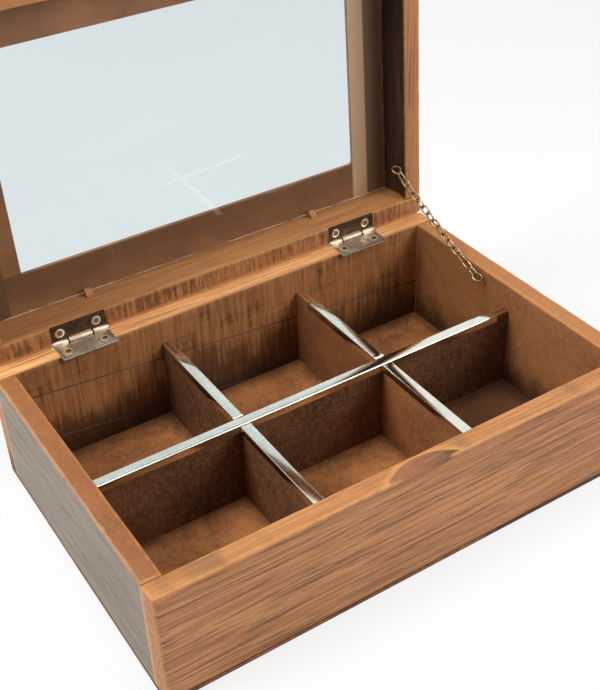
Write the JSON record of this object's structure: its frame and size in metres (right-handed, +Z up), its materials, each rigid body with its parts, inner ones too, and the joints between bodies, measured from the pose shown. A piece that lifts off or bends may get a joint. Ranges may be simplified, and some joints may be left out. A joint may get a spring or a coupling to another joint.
{
  "type": "tea bag organizer box",
  "caption": "Wooden box with compartments under a hinged lid with a glass window, held open by a chain.",
  "frame": {"origin": "centre of the box's underside", "axes": "+X to the right along the box's width, +Y to the back, where the lid is hinged, +Z up"},
  "size_m": [0.24, 0.1912, 0.219],
  "materials": {
    "wall_wood": "brown stained, worn lighter at the edges",
    "lid_wood": "brown stained, worn lighter at the edges",
    "base_board": "dark stained board",
    "divider_board": "dark brown fibre board",
    "edge_strip": "polished",
    "hinge_bronze": "antique bronze, worn",
    "screw_steel": "dull plated",
    "screw_brass": "polished brass",
    "chain_bronze": "antique bronze",
    "glass": "clear"
  },
  "bodies": {
    "box": {"base_board": "base_board", "front_wall": "wall_wood", "back_wall": "wall_wood", "left_wall": "wall_wood", "right_wall": "wall_wood", "base_brads": "screw_steel", "long_divider": "divider_board", "cross_divider_left": "divider_board", "cross_divider_right": "divider_board", "long_edge_strip": "edge_strip", "edge_strip_left_front": "edge_strip", "edge_strip_left_back": "edge_strip", "edge_strip_right_front": "edge_strip", "edge_strip_right_back": "edge_strip", "hinge_left_box_leaf": "hinge_bronze", "hinge_right_box_leaf": "hinge_bronze", "hinge_left_pin": "hinge_bronze", "hinge_right_pin": "hinge_bronze", "box_leaf_screws": "screw_steel", "brass_screw": "screw_brass", "box_screw_eye": "chain_bronze"},
    "lid": {"lid_front_rail": "lid_wood", "lid_back_rail": "lid_wood", "lid_left_rail": "lid_wood", "lid_right_rail": "lid_wood", "lid_top_panel": "lid_wood", "glass_pane": "glass", "glazing_tabs": "lid_wood", "hinge_left_lid_leaf": "hinge_bronze", "hinge_right_lid_leaf": "hinge_bronze", "lid_leaf_screws": "screw_steel", "lid_screw_eye": "chain_bronze"},
    "link_1": {"chain_link_1": "chain_bronze"},
    "link_2": {"chain_link_2": "chain_bronze"},
    "link_3": {"chain_link_3": "chain_bronze"},
    "link_4": {"chain_link_4": "chain_bronze"},
    "link_5": {"chain_link_5": "chain_bronze"},
    "link_6": {"chain_link_6": "chain_bronze"},
    "link_7": {"chain_link_7": "chain_bronze"},
    "link_8": {"chain_link_8": "chain_bronze"},
    "link_9": {"chain_link_9": "chain_bronze"},
    "link_10": {"chain_link_10": "chain_bronze"},
    "link_11": {"chain_link_11": "chain_bronze"},
    "link_12": {"chain_link_12": "chain_bronze"},
    "link_13": {"chain_link_13": "chain_bronze"},
    "link_14": {"chain_link_14": "chain_bronze"},
    "link_15": {"chain_link_15": "chain_bronze"}
  },
  "joints": [
    {"name": "lid_hinge", "type": "hinge", "parent": "box", "child": "lid", "pos_m": [0, 0.0805, 0.05825], "axis": [1, 0, 0], "range_deg": [0, 92.7]},
    {"name": "pivot_1", "type": "hinge", "parent": "box", "child": "link_1", "pos_m": [0.1076, 0.02046, 0.05523], "axis": [1, 0, 0], "range_deg": [-103, 1]},
    {"name": "pivot_2", "type": "hinge", "parent": "box", "child": "link_2", "pos_m": [0.1076, 0.02011, 0.05551], "axis": [1, 0, 0], "range_deg": [-95, 1]},
    {"name": "pivot_3", "type": "hinge", "parent": "box", "child": "link_3", "pos_m": [0.1076, 0.01964, 0.05581], "axis": [1, 0, 0], "range_deg": [-92, 1]},
    {"name": "pivot_4", "type": "hinge", "parent": "box", "child": "link_4", "pos_m": [0.1076, 0.0181, 0.05668], "axis": [1, 0, 0], "range_deg": [-82, 1]},
    {"name": "pivot_5", "type": "hinge", "parent": "box", "child": "link_5", "pos_m": [0.1076, 0.00608, 0.06246], "axis": [1, 0, 0], "range_deg": [-51, 1]},
    {"name": "pivot_6", "type": "hinge", "parent": "box", "child": "link_6", "pos_m": [0.1076, -0.02573, 0.07644], "axis": [1, 0, 0], "range_deg": [-27, 1]},
    {"name": "pivot_7", "type": "hinge", "parent": "box", "child": "link_7", "pos_m": [0.1076, -0.13242, 0.11779], "axis": [1, 0, 0], "range_deg": [-11, 1]},
    {"name": "pivot_8", "type": "hinge", "parent": "box", "child": "link_8", "pos_m": [0.1076, -0.22234, 0.15244], "axis": [1, 0, 0], "range_deg": [-8, 1]},
    {"name": "pivot_9", "type": "hinge", "parent": "box", "child": "link_9", "pos_m": [0.1076, 0.23834, -0.01328], "axis": [1, 0, 0], "range_deg": [-1, 11]},
    {"name": "pivot_10", "type": "hinge", "parent": "box", "child": "link_10", "pos_m": [0.1076, 0.12568, 0.02883], "axis": [1, 0, 0], "range_deg": [-1, 25]},
    {"name": "pivot_11", "type": "hinge", "parent": "box", "child": "link_11", "pos_m": [0.1076, 0.10024, 0.04059], "axis": [1, 0, 0], "range_deg": [-1, 39]},
    {"name": "pivot_12", "type": "hinge", "parent": "box", "child": "link_12", "pos_m": [0.1076, 0.08978, 0.04634], "axis": [1, 0, 0], "range_deg": [-1, 52]},
    {"name": "pivot_13", "type": "hinge", "parent": "box", "child": "link_13", "pos_m": [0.1076, 0.08428, 0.05095], "axis": [1, 0, 0], "range_deg": [-1, 66]},
    {"name": "pivot_14", "type": "hinge", "parent": "box", "child": "link_14", "pos_m": [0.1076, 0.08168, 0.05386], "axis": [1, 0, 0], "range_deg": [-1, 77]},
    {"name": "pivot_15", "type": "hinge", "parent": "lid", "child": "link_15", "pos_m": [0.1076, 0.08123, 0.08364], "axis": [1, 0, 0], "range_deg": [-1, 27]}
  ],
  "couplings": [
    {"joint": "pivot_1", "follows": "lid_hinge", "ratio": -1.0962},
    {"joint": "pivot_2", "follows": "lid_hinge", "ratio": -1.0116},
    {"joint": "pivot_3", "follows": "lid_hinge", "ratio": -0.9713},
    {"joint": "pivot_4", "follows": "lid_hinge", "ratio": -0.8696},
    {"joint": "pivot_5", "follows": "lid_hinge", "ratio": -0.5359},
    {"joint": "pivot_6", "follows": "lid_hinge", "ratio": -0.2698},
    {"joint": "pivot_7", "follows": "lid_hinge", "ratio": -0.1051},
    {"joint": "pivot_8", "follows": "lid_hinge", "ratio": -0.0695},
    {"joint": "pivot_9", "follows": "lid_hinge", "ratio": 0.1012},
    {"joint": "pivot_10", "follows": "lid_hinge", "ratio": 0.2566},
    {"joint": "pivot_11", "follows": "lid_hinge", "ratio": 0.4074},
    {"joint": "pivot_12", "follows": "lid_hinge", "ratio": 0.5454},
    {"joint": "pivot_13", "follows": "lid_hinge", "ratio": 0.6948},
    {"joint": "pivot_14", "follows": "lid_hinge", "ratio": 0.8135},
    {"joint": "pivot_15", "follows": "lid_hinge", "ratio": 0.2777}
  ]
}
